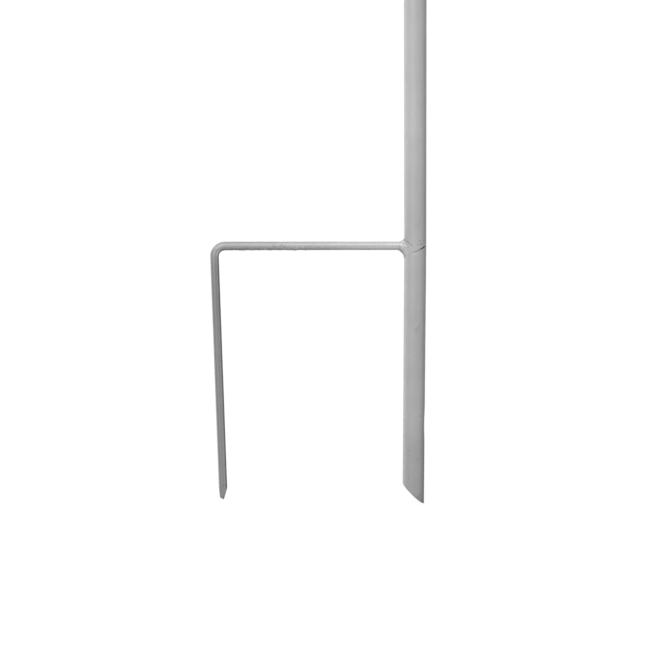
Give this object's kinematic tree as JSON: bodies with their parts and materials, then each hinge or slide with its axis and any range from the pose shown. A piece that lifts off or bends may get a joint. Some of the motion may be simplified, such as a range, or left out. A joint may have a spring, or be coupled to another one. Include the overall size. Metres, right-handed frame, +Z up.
{
  "type": "post anchor spike",
  "caption": "Tubular post on a bevel-cut ground spike, with a bent round-bar step spur welded to its side, driven into soil by foot.",
  "frame": {"origin": "on the post tube's axis at the ground line, level with the underside of the step bar", "axes": "+Z up the post; -X towards the step spur; the spike's point is on the +X side; the plane y = 0 holds both spikes"},
  "size_m": [0.2453, 0.025, 0.6959],
  "materials": {
    "tube_coating": "dull light grey metal coating, satin",
    "spike_coating": "dull light grey metal coating, slightly rubbed",
    "bar_coating": "dull light grey metal coating with small lumps on the underside",
    "fillet_bead": "rough rippled weld bead under the same coating",
    "seam_bead": "weld bead dressed nearly flush under the same coating",
    "spigot_steel": "bare drawn steel"
  },
  "bodies": {
    "root": {"post_tube": "tube_coating", "spike_tube": "spike_coating", "joint_spigot": "spigot_steel", "step_spur": "bar_coating", "spur_fillet_weld": "fillet_bead", "seam_weld": "seam_bead"}
  },
  "joints": []
}
